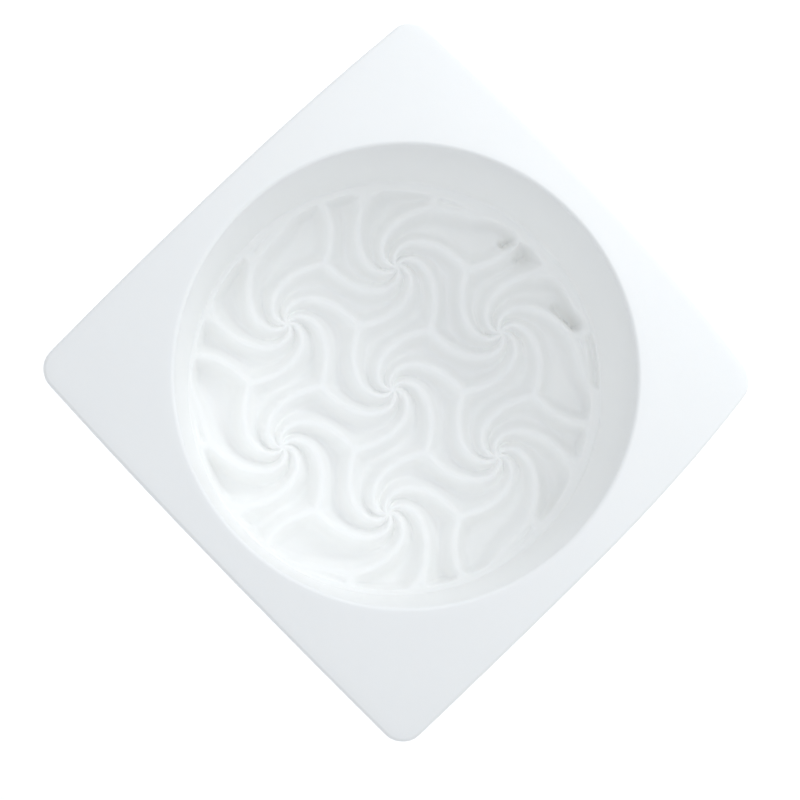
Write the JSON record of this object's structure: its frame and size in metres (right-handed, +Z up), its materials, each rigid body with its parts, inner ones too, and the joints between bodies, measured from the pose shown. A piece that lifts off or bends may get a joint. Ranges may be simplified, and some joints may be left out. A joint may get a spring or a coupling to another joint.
{
  "type": "resin casting mould",
  "caption": "Square flexible silicone mould with one round cavity that casts a disc with a field of raised spiral swirls on its face.",
  "frame": {"origin": "centre of the flat underside", "axes": "+Z up out of the cavity's mouth, X and Y along the sides of the square block"},
  "size_m": [0.08, 0.08, 0.036],
  "materials": {
    "silicone": "satin, milky and slightly translucent white silicone rubber"
  },
  "bodies": {
    "root": {"mould_body": "silicone"}
  },
  "joints": []
}
